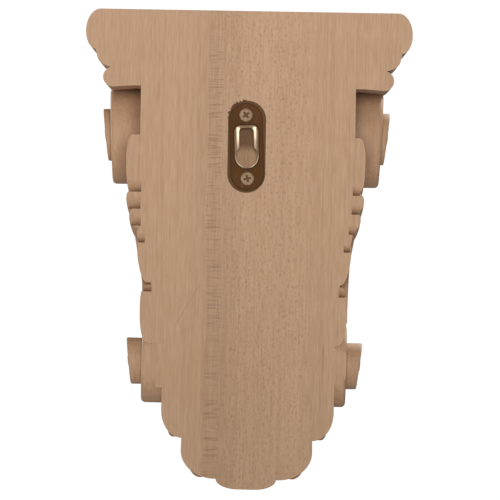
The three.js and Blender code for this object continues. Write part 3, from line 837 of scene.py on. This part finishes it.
class CORBEL_OT_join_block(bpy.types.Operator):
    """Joins all the carving into one block, cuts it off flat at the wall and routs the pocket"""
    bl_idname = "corbel.join_block"
    bl_label = "Join block"

    # Chips at the pocket's rim: the angle round its head, how far out they lie and their size
    chips = (
        (0.1, -0.4, 1.5), (0.36, -0.4, 2.0), (0.6, -0.3, 1.6), (0.8, -0.4, 2.3), (1.0, -0.3, 1.8),
        (1.2, -0.4, 1.5), (1.42, -0.4, 2.0))
    # Hollows at the back edge: their depth, and the sides, top and bottom of each
    hollow_depth = 6.5
    hollows = (
        (50.4, 63.0, 32.6, 27.1), (50.6, 63.0, 25.3, 19.0), (50.4, 63.0, 17.3, 10.9),
        (48.3, 57.0, 7.0, 2.9), (44.7, 52.0, -15.4, -20.4), (-54.2, -50.6, 31.0, 26.9),
        (-54.2, -50.2, 22.1, 17.9), (-52.7, -49.0, 12.1, 8.3), (-50.1, -46.7, 3.1, -0.3),
        (-48.3, -44.7, -16.9, -21.8))

    def execute(self, context):
        lay = Layout(context)
        axis = Matrix.Translation(at(0, 0, lay.lower.y))
        lean = axis @ Matrix.Rotation(-lay.block.foot_lean, 4, "Y") @ axis.inverted()
        for name in ("lower_roll", "leaf_drop"):
            bpy.data.objects[name].data.transform(lean)
        names = (
            "web", "band", "band_edge", "band_edge_left", "upper_roll", "lower_roll", "front_leaf",
            "side_leaves", "leaf_drop")
        corbel = combine(bpy.data.objects["cap"], [bpy.data.objects[name] for name in names])
        corbel.name = "corbel_block"
        corbel.data.name = "corbel_block"
        b = lay.block
        combine(corbel, self.pocket(lay) + self.notches(), "DIFFERENCE")
        wall = box("wall", (2 * b.cap_width, b.depth, 2 * b.height), (0, -b.depth / 2, 0))
        combine(corbel, [wall], "DIFFERENCE")
        self.keep_outer_skin(corbel)
        smooth(corbel)
        finish_piece(corbel, bpy.data.materials["corbel_wood"], "wood", "corbel")
        return {"FINISHED"}

    def pocket(self, lay):
        h = lay.hanger
        z = lay.top - h.pocket_drop
        long, deep = h.pocket_length / 2, h.slot_length / 2
        cutters = [
            slot_block("pocket", h.pocket_width, long, long, -1, h.pocket_depth, segments=24),
            slot_block("slot", h.slot_width, deep, deep, -0.8, h.slot_depth),
        ]
        face = h.pocket_depth - h.clearance - h.plate_thickness
        for end in (-1, 1):
            place = (0, face + h.screw_length / 2 + h.clearance, end * h.screw_spacing / 2)
            pilot = rod("pilot", h.screw_shank + h.clearance, h.screw_length, place, FORWARD, 24)
            pilot.data.transform(Matrix.Rotation(h.tilt, 4, "Y"))
            cutters.append(pilot)
        for turn, out, size in self.chips:
            chip = box("chip", (size, size, size), turn=(0.3, turn, 0.2))
            radius = h.pocket_width / 2 + out
            x, rise = radius * math.cos(turn), radius * math.sin(turn)
            cutters.append(moved(chip, x, 0, long - h.pocket_width / 2 + rise))
        return [moved(cutter, h.pocket_shift, 0, z) for cutter in cutters]

    def notches(self):
        """Hollows at the back edge, where each lobe of the side leaves rounds off over the next."""
        cutters = []
        steps = 12
        for start, end, top, bottom in self.hollows:
            side = [(-1, top)]
            for i in range(steps + 1):
                # The part of a quarter round that the hollow's floor takes up
                t = 0.3 + 0.69 * i / steps
                depth = self.hollow_depth * (1 - math.sqrt(1 - t * t))
                side.append((depth, top + (bottom - top) * i / steps))
            side.append((-1, bottom))
            cutters.append(loft("notch", [[(x, u, z) for u, z in side] for x in (start, end)]))
        return cutters

    def keep_outer_skin(self, corbel):
        """Deletes any closed bubble that crossing fingers leave inside the wood."""
        top = max(vertex.co.z for vertex in corbel.data.vertices)
        with editing(corbel):
            pick(corbel, "verts", lambda v: v.co.z == top)
            bpy.ops.mesh.select_linked()
            bpy.ops.mesh.select_all(action="INVERT")
            bpy.ops.mesh.delete(type="VERT")


# Operators: the hanger

class CORBEL_OT_hanger(bpy.types.Operator):
    """Makes the keyhole hanger plate with its raised dome"""
    bl_idname = "corbel.hanger"
    bl_label = "Keyhole hanger"

    def execute(self, context):
        lay = Layout(context)
        h = lay.hanger
        back = h.pocket_depth - h.clearance
        face = back - h.plate_thickness
        brow = face - h.raised_height
        reach = h.pocket_length / 2 - h.plate_margin
        width = h.pocket_width - 2 * h.plate_margin
        plate = slot_block("hanger_dressed", width, reach, reach, face, back, segments=32)
        soften(plate, 0.25, 3)
        combine(plate, [self.dome("dome", h, 0.0, back - 0.2, brow, 0.9)])
        hollow = self.dome("hollow", h, h.plate_thickness, back + 0.5, brow + h.plate_thickness, 0.6)
        slot = slot_block(
            "key_slot", h.key_slot_width, h.key_slot_top, h.key_hole_drop, -1, h.pocket_depth,
            h.key_slot_corner)
        radius = h.key_hole_width / 2
        entry = turned("key_entry", [(radius, -1.2), (radius, h.pocket_depth)], 72)
        cutters = [hollow, slot, moved(entry, 0, 0, -h.key_hole_drop)]
        radius = h.screw_shank + h.clearance
        for end in (-1, 1):
            hole = turned("screw_hole", [(radius, 0), (radius, h.pocket_depth)], 32)
            cutters.append(moved(hole, 0, 0, end * h.screw_spacing / 2))
        combine(plate, cutters, "DIFFERENCE")
        soften(plate, 0.12, 2, 45)
        plate.data.transform(hanger_place(lay))
        smooth(plate, 40)
        finish_piece(plate, bpy.data.materials["hanger_steel"], "plate_steel", "hanger_plate")
        return {"FINISHED"}

    def dome(self, name, h, shrink, foot, brow, edge):
        """The pressed dome, or the hollow behind it, with a rounded brow."""
        reach = h.raised_length / 2 - shrink
        width = h.raised_width - 2 * shrink
        piece = slot_block(name, width, reach, reach, brow, foot, h.raised_corner - shrink)
        for vertex in piece.data.vertices:
            if vertex.co.y > -(brow + 0.01) * MM:
                vertex.co.x *= 1 - 2 * h.raised_draft / width
                vertex.co.z *= 1 - h.raised_draft / reach
        return soften(piece, edge, 5, 60)


class CORBEL_OT_screws(bpy.types.Operator):
    """Makes the two wood screws with their round heads and cross recesses"""
    bl_idname = "corbel.screws"
    bl_label = "Screws"

    def execute(self, context):
        lay = Layout(context)
        h = lay.hanger
        face = h.pocket_depth - h.clearance - h.plate_thickness
        upper = self.screw("upper_screw_dressed", h)
        lower = upper.copy()
        lower.data = upper.data.copy()
        lower.name = "lower_screw_dressed"
        bpy.context.scene.collection.objects.link(lower)
        for screw, node, end, turn in (
                (upper, "upper_screw", 1, 0.63), (lower, "lower_screw", -1, 0.2)):
            screw.data.transform(Matrix.Rotation(turn, 4, "Y"))
            moved(screw, 0, face - h.clearance, end * h.screw_spacing / 2)
            screw.data.transform(hanger_place(lay))
            smooth(screw, 35)
            finish_piece(screw, bpy.data.materials["hanger_screws"], "screw_steel", node)
        return {"FINISHED"}

    def screw(self, name, h):
        """A screw about the origin, its low domed head towards the wall."""
        rim = h.screw_head_height * 0.4
        dome = arc((0, -rim), (h.screw_head, h.screw_head_height - rim), -math.pi / 2, 0, 12)
        profile = [(max(radius, h.screw_head * 0.02), u) for radius, u in dome]
        profile += [
            (h.screw_head, 0), (h.screw_shank, 0), (h.screw_shank, h.screw_length - 4),
            (0.1, h.screw_length - h.clearance)]
        screw = turned(name, profile)
        arms = []
        for quarter in (0, 1):
            arm = box("recess", (4.4, 2.6, 1.1), (0, -h.screw_head_height, 0))
            for vertex in arm.data.vertices:
                if vertex.co.y < h.screw_head_height * MM:
                    vertex.co.x *= 0.6
            arm.data.transform(Matrix.Rotation(quarter * math.pi / 2, 4, "Y"))
            arms.append(arm)
        return combine(screw, arms, "DIFFERENCE")


def hanger_place(lay):
    h = lay.hanger
    middle = Matrix.Translation(at(h.pocket_shift, 0, lay.top - h.pocket_drop))
    return middle @ Matrix.Rotation(h.tilt, 4, "Y")


# Finishes

class Sum:
    """A shader socket that takes part in Python sums. Each sum adds its Math node."""

    def __init__(self, graph, socket):
        self.graph = graph
        self.socket = socket

    def __add__(self, other):
        return self.graph.math("ADD", self, other)

    __radd__ = __add__

    def __sub__(self, other):
        return self.graph.math("SUBTRACT", self, other)

    def __rsub__(self, other):
        return self.graph.math("SUBTRACT", other, self)

    def __mul__(self, other):
        return self.graph.math("MULTIPLY", self, other)

    __rmul__ = __mul__

    def __abs__(self):
        return self.graph.math("ABSOLUTE", self)


class Graph:
    """The nodes of one material."""

    def __init__(self, name):
        material = bpy.data.materials.new(name)
        material.use_nodes = True
        self.tree = material.node_tree
        self.tree.nodes.clear()

    def node(self, kind, settings=None, values=None, output=0):
        """Adds a node with its settings and the values or links of its sockets."""
        node = self.tree.nodes.new(kind)
        for key, value in (settings or {}).items():
            setattr(node, key, value)
        for key, value in (values or {}).items():
            if isinstance(value, Sum):
                self.tree.links.new(value.socket, node.inputs[key])
            else:
                node.inputs[key].default_value = value
        return Sum(self, node.outputs[output])

    def math(self, operation, *values):
        return self.node("ShaderNodeMath", {"operation": operation}, dict(enumerate(values)))

    def point(self):
        return self.node("ShaderNodeTexCoord", output="Object")

    def axis(self, point, name):
        return self.node("ShaderNodeSeparateXYZ", values={0: point}, output=name)

    def noise(self, point, scale, detail=2.0, roughness=0.5):
        stretched = self.node(
            "ShaderNodeVectorMath", {"operation": "MULTIPLY"}, {0: point, 1: scale})
        return self.node(
            "ShaderNodeTexNoise", None,
            {"Vector": stretched, "Scale": 1.0, "Detail": detail, "Roughness": roughness})

    def ramp(self, value, low, high, to_low=0.0, to_high=1.0):
        """Carries the value smoothly from one range to another and holds it there."""
        return self.node(
            "ShaderNodeMapRange", {"interpolation_type": "SMOOTHSTEP", "clamp": True},
            {0: value, 1: low, 2: high, 3: to_low, 4: to_high})

    def window(self, value, low, high, fade):
        """1 between low and high, and 0 outside, with soft sides."""
        above = self.ramp(value, low - fade, low + fade)
        return above * self.ramp(value, high - fade, high + fade, 1.0, 0.0)

    def spots(self, point, scale, low, high, detail=2.0, roughness=0.6, least=0.0):
        """1 where a noise is above high, and the least where it is below low."""
        return self.ramp(self.noise(point, scale, detail, roughness), low, high, least)

    def mix(self, share, a, b):
        return self.node(
            "ShaderNodeMix", {"data_type": "RGBA", "clamp_factor": True}, {0: share, 6: a, 7: b}, output=2)

    def finish(self, bump=None, **values):
        """The surface, with an optional bump of (height, strength, distance)."""
        sockets = {key.replace("_", " "): value for key, value in values.items()}
        if bump:
            height, strength, distance = bump
            sockets["Normal"] = self.node(
                "ShaderNodeBump", None, {"Height": height, "Strength": strength, "Distance": distance})
        shader = self.node("ShaderNodeBsdfPrincipled", None, sockets)
        output = self.tree.nodes.new("ShaderNodeOutputMaterial")
        self.tree.links.new(shader.socket, output.inputs["Surface"])


def opaque(hue):
    return (*hue, 1.0)


class CORBEL_OT_finishes(bpy.types.Operator):
    """Mixes the wood, the coated plate, the screw steel and the floor's paint"""
    bl_idname = "corbel.finishes"
    bl_label = "Finishes"

    def execute(self, context):
        finish = context.scene.corbel_finish
        lay = Layout(context)
        self.wood(finish, lay)
        self.plate(finish, lay)
        self.screws(finish)
        self.floor(finish)
        return {"FINISHED"}

    # Where the wood's marks lie, in metres, each from one side to the other
    figured = (0.0035, 0.0196)
    laddered = (0.0118, 0.0190)
    speckled = (-0.03, 0.0125)
    streak_across, streak_up = (-0.0381, -0.0375), (-0.0575, -0.0455)
    # The two glue lines, measured out from the middle between them
    glue_line, glue_middle = (0.0513, 0.0516), 0.0002
    # The scratch, measured across its own slant, and up
    scratch_across, scratch_up = (0.00995, 0.01017), (-0.0364, -0.0166)
    scratch_slant = (0.861, 0.509)
    # How deep in the wood the pocket's walls and floor lie, where painted shade darkens them
    pocket_deep = (-0.0145, -0.0007)

    def wood(self, finish, lay):
        """Sanded hardwood glued up from upright staves, with fine grain and a figured band."""
        g = Graph("corbel_wood")
        point = g.point()
        x, y, z = (g.axis(point, name) for name in "XYZ")
        fine = g.noise(point, (1250, 1250, 90), 2.0, 0.6)
        lines = g.noise(point, (560, 560, 9), 2.0, 0.5)
        broad = g.noise(point, (70, 70, 3), 1.0)
        curls = g.noise(point, (1000, 1000, 560), 2.0, 0.6)
        shade = (fine - 0.5) * 1.15 + (lines - 0.5) * 0.85 + (broad - 0.5) * 0.6

        # The figured band and the specks wander a little, and the band fades towards the front
        across = x + (g.noise(point, (3, 3, 9), 1.0) - 0.5) * 0.006
        near_back = g.ramp(y, -0.03, -0.012)
        figure = g.window(across, *self.figured, 0.0015) * (0.35 + near_back * 0.65)
        speck_band = g.window(across, *self.speckled, 0.009)
        off_middle = abs(x - self.glue_middle)
        outer_stave = g.ramp(off_middle, *self.glue_line)
        share = 0.3 + shade + figure * 0.28 + outer_stave * 0.05 + (curls - 0.5) * speck_band * 1.1
        hue = g.mix(share, opaque(finish.wood), opaque(finish.grain))

        rungs = g.spots(point, (90, 90, 1150), 0.52, 0.62, 1.0, 0.5)
        patches = g.spots(point, (20, 20, 60), 0.32, 0.5, 1.0, 0.5, 0.25)
        ladder = g.window(across, *self.laddered, 0.0006) * near_back * rungs * patches
        specks = g.ramp(curls, 0.58, 0.68) * speck_band
        dashes = g.spots(point, (900, 900, 60), 0.64, 0.74)
        seam = g.window(off_middle, *self.glue_line, 0.00018)
        streak = g.window(x, *self.streak_across, 0.0003) * g.window(z, *self.streak_up, 0.002)
        slant = x * self.scratch_slant[0] + z * self.scratch_slant[1]
        scratch = g.window(slant, *self.scratch_across, 0.0001) * g.window(z, *self.scratch_up, 0.001)
        scored = (streak + scratch) * near_back
        marks = ladder * 0.42 + specks * 0.42 + dashes * 0.24 + seam * 0.25 + scored * 0.5
        hue = g.mix(marks, hue, opaque(finish.pores))

        # Painted shade: the pocket is darkened in the plate's colour, and its deeper slot only in the upper
        # half, as a painted shadow
        h = lay.hanger
        middle = Vector((h.pocket_shift, lay.top - h.pocket_drop)) * MM
        reach = Vector((h.pocket_width / 2 + 0.85, h.pocket_length / 2 + 1.15)) * MM
        routed = g.window(x, middle.x - reach.x, middle.x + reach.x, 0.0003)
        routed = routed * g.window(z, middle.y - reach.y, middle.y + reach.y, 0.0005)
        routed = routed * g.window(y, *self.pocket_deep, 0.0004)
        in_slot = g.ramp(y, -0.0047, -0.006)
        # Painted shade on the pocket's rim and walls, painted shadow in the slot's upper half, and little
        # in the round entry
        painted_pocket_shade = routed * (0.84 + in_slot * (0.66 * g.ramp(z, 0.0465, 0.051) - 0.76))
        hue = g.mix(painted_pocket_shade, hue, opaque(finish.plate))
        dents = 0.5 * fine + 0.35 * lines - 0.6 * marks
        g.finish(
            bump=(dents, 0.28, 0.0003),
            Base_Color=hue,
            Roughness=g.ramp(fine, 0.3, 0.7, 0.56, 0.7) + routed * 0.34,
            Specular_IOR_Level=0.32)

    def plate(self, finish, lay):
        """Dark coated steel, lighter on the dome and bright on the dome's brow and on the edges of the
        keyhole, partly as wear of the coating and partly as painted highlight.
        """
        h = lay.hanger
        g = Graph("hanger_steel")
        middle = (h.pocket_shift * MM, 0, (lay.top - h.pocket_drop) * MM)
        point = g.node(
            "ShaderNodeMapping", {"vector_type": "TEXTURE"},
            {"Vector": g.point(), "Location": middle, "Rotation": (0, h.tilt, 0)})
        x, y, z = (g.axis(point, name) for name in "XYZ")
        face = (h.pocket_depth - h.clearance - h.plate_thickness) * MM
        half = h.raised_width / 2 * MM
        rise = g.ramp(y, -face + 0.0008, -face + h.raised_height * MM * 0.95)

        # Wear of the coating and painted highlight beside the keyhole's slot, brighter towards its top,
        # along the dome's sides and at its lower end
        inner = g.window(abs(x), half * 0.5, half * 0.76, 0.0003) * g.ramp(z, 0.0102, 0.0088)
        inner = inner * g.ramp(z, -0.001, 0.0075, 0.5, 1.1)
        outer = g.window(abs(x), half * 0.9, half * 1.02, 0.0002) * g.ramp(z, 0.0092, 0.0076)
        rim = g.ramp(z, -0.002, -0.005) * g.ramp(abs(x), 0.0, half * 0.6, 0.2, 0.7)
        edges = g.math("MAXIMUM", inner, g.math("MAXIMUM", outer * 0.7, rim))
        rubbed = g.spots(point, (260, 260, 160), 0.3, 0.62, 3.0)
        scratches = g.spots(point, (2600, 2600, 120), 0.6, 0.72)
        # The whole dome is a little lighter as painted sheen, and its edges brighter as wear and painted
        # highlight
        wear_and_painted_highlight = rise * g.math("MAXIMUM", edges, 0.22) * (0.8 + 0.2 * rubbed)
        hue = g.mix(wear_and_painted_highlight + scratches * 0.08, opaque(finish.plate), opaque(finish.bright))
        g.finish(
            bump=(g.noise(point, (1400, 1400, 1400), 2.0), 0.15, 0.0001),
            Base_Color=hue,
            Metallic=g.ramp(wear_and_painted_highlight, 0.0, 1.0, 0.7, 0.9),
            Specular_IOR_Level=0.15,
            Roughness=g.ramp(wear_and_painted_highlight + rubbed * 0.2, 0.0, 1.0, 0.66, 0.52))

    def screws(self, finish):
        g = Graph("hanger_screws")
        point = g.point()
        dull = g.noise(point, (900, 900, 900), 3.0, 0.6)
        hue = g.mix(g.ramp(dull, 0.4, 0.7, 0.0, 0.35), opaque(finish.screw), opaque(finish.bright))
        # Painted shade: darker with depth below the head's top, in the cross recess and round the head's
        # outer ring, in the plate's colour
        deep = g.ramp(g.axis(point, "Y"), -0.0014, -0.0021)
        hue = g.mix(deep * 0.8, hue, opaque(finish.plate))
        g.finish(
            bump=(dull, 0.2, 0.0001),
            Base_Color=hue,
            Metallic=0.3,
            Specular_IOR_Level=0.15,
            Roughness=g.ramp(dull, 0.3, 0.7, 0.66, 0.78))

    def floor(self, finish):
        g = Graph("studio_floor")
        mottle = g.noise(g.point(), (3, 3, 3), 2.0)
        pale = opaque(finish.studio)
        hue = g.mix(mottle * 0.1, pale, opaque([c * 0.96 for c in finish.studio]))
        g.finish(Base_Color=hue, Roughness=0.85, Emission_Color=pale, Emission_Strength=0.2)


# Studio

class CORBEL_OT_studio(bpy.types.Operator):
    """Lays the pale floor, hangs the soft lights and sets the camera where the photograph was taken"""
    bl_idname = "corbel.studio"
    bl_label = "Studio"

    def execute(self, context):
        clear_selection()
        bpy.ops.mesh.primitive_circle_add(
            vertices=96, radius=4.5, fill_type="NGON", location=(0, 0, -1.8))
        floor = settle(named_active("floor"))
        floor.data.materials.append(bpy.data.materials["studio_floor"])
        warm = (1.0, 0.985, 0.96)
        self.light("key", (-0.02, 1.5, 0.09), 0.26, 2.7, warm, (0, 0, 0.31))
        self.light("side", (1.0, 0.6, 0.1), 0.6, 0.35, warm, (0, 0, 0.15))
        self.light("front_key", (-0.9, -1.3, 1.3), 0.7, 8.0, warm)
        self.light("front_fill", (1.2, -1.1, 0.3), 0.9, 2.6, (1.0, 0.99, 0.97))
        self.surroundings(context.scene)
        self.camera(context.scene)
        context.scene.view_settings.view_transform = "Standard"
        return {"FINISHED"}

    def light(self, name, place, size, power, hue, aim=(0, 0, 0)):
        """A square soft lamp, its place, size and aim in metres and its power in watts."""
        bpy.ops.object.light_add(type="AREA", location=place)
        lamp = bpy.context.object
        lamp.name = name
        lamp.data.size = size
        lamp.data.energy = power
        lamp.data.spread = math.radians(70)
        lamp.data.color = hue
        lamp.rotation_euler = (Vector(aim) - Vector(place)).to_track_quat("-Z", "Y").to_euler()

    def surroundings(self, scene):
        """White to the camera, and a softer white as light."""
        world = bpy.data.worlds.new("studio")
        scene.world = world
        world.use_nodes = True
        tree = world.node_tree
        back = tree.nodes["Background"]
        back.inputs["Color"].default_value = (1, 1, 1, 1)
        path = tree.nodes.new("ShaderNodeLightPath")
        seen = tree.nodes.new("ShaderNodeMapRange")
        seen.inputs["To Min"].default_value = 0.17
        seen.inputs["To Max"].default_value = 1.05
        tree.links.new(path.outputs["Is Camera Ray"], seen.inputs["Value"])
        tree.links.new(seen.outputs["Result"], back.inputs["Strength"])

    def camera(self, scene):
        """Square on to the back, about 3 m away, and rolled a degree."""
        away, aside, up = 3.0, -0.00202, 0.00018
        seen_width, sensor = 0.23855, 36.0
        bpy.ops.object.camera_add(location=(aside, away, up))
        camera = bpy.context.object
        camera.name = "photograph"
        camera.data.sensor_width = sensor
        camera.data.lens = sensor * away / seen_width
        camera.data.clip_start, camera.data.clip_end = 0.05, 30.0
        square_on = Matrix.Rotation(math.pi, 4, "Z") @ Matrix.Rotation(math.pi / 2, 4, "X")
        roll = Matrix.Rotation(math.radians(0.975), 4, "Z")
        camera.rotation_euler = (square_on @ roll).to_euler()
        scene.camera = camera


class CORBEL_PT_panel(bpy.types.Panel):
    """Lists the steps and the sizes in the 3D view's sidebar"""
    bl_idname = "CORBEL_PT_panel"
    bl_label = "Corbel"
    bl_space_type = "VIEW_3D"
    bl_region_type = "UI"
    bl_category = "Corbel"

    def draw(self, context):
        for step in STEPS:
            self.layout.operator(step.bl_idname)
        for name in GROUPS:
            group = getattr(context.scene, name)
            sheet = self.layout.box()
            for value in group.__annotations__:
                sheet.prop(group, value)


GROUPS = {
    "corbel_block": CorbelBlockSizes,
    "corbel_scrolls": CorbelScrollSizes,
    "corbel_drop": CorbelDropSizes,
    "corbel_hanger": CorbelHangerSizes,
    "corbel_finish": CorbelFinish,
}
STEPS = (
    CORBEL_OT_finishes, CORBEL_OT_studio, CORBEL_OT_cap, CORBEL_OT_console, CORBEL_OT_scrolls,
    CORBEL_OT_front_leaf, CORBEL_OT_side_leaves, CORBEL_OT_leaf_drop, CORBEL_OT_join_block,
    CORBEL_OT_hanger, CORBEL_OT_screws,
)


def register():
    for kind in (*GROUPS.values(), *STEPS, CORBEL_PT_panel):
        bpy.utils.register_class(kind)
    for name, kind in GROUPS.items():
        setattr(bpy.types.Scene, name, PointerProperty(type=kind))


def unregister():
    for name in GROUPS:
        delattr(bpy.types.Scene, name)
    for kind in reversed((*GROUPS.values(), *STEPS, CORBEL_PT_panel)):
        bpy.utils.unregister_class(kind)


def main():
    register()
    bpy.ops.corbel.finishes()
    bpy.ops.corbel.studio()
    bpy.ops.corbel.cap()
    bpy.ops.corbel.console()
    bpy.ops.corbel.scrolls()
    bpy.ops.corbel.front_leaf()
    bpy.ops.corbel.side_leaves()
    bpy.ops.corbel.leaf_drop()
    bpy.ops.corbel.join_block()
    bpy.ops.corbel.hanger()
    bpy.ops.corbel.screws()


if __name__ == "__main__":
    main()
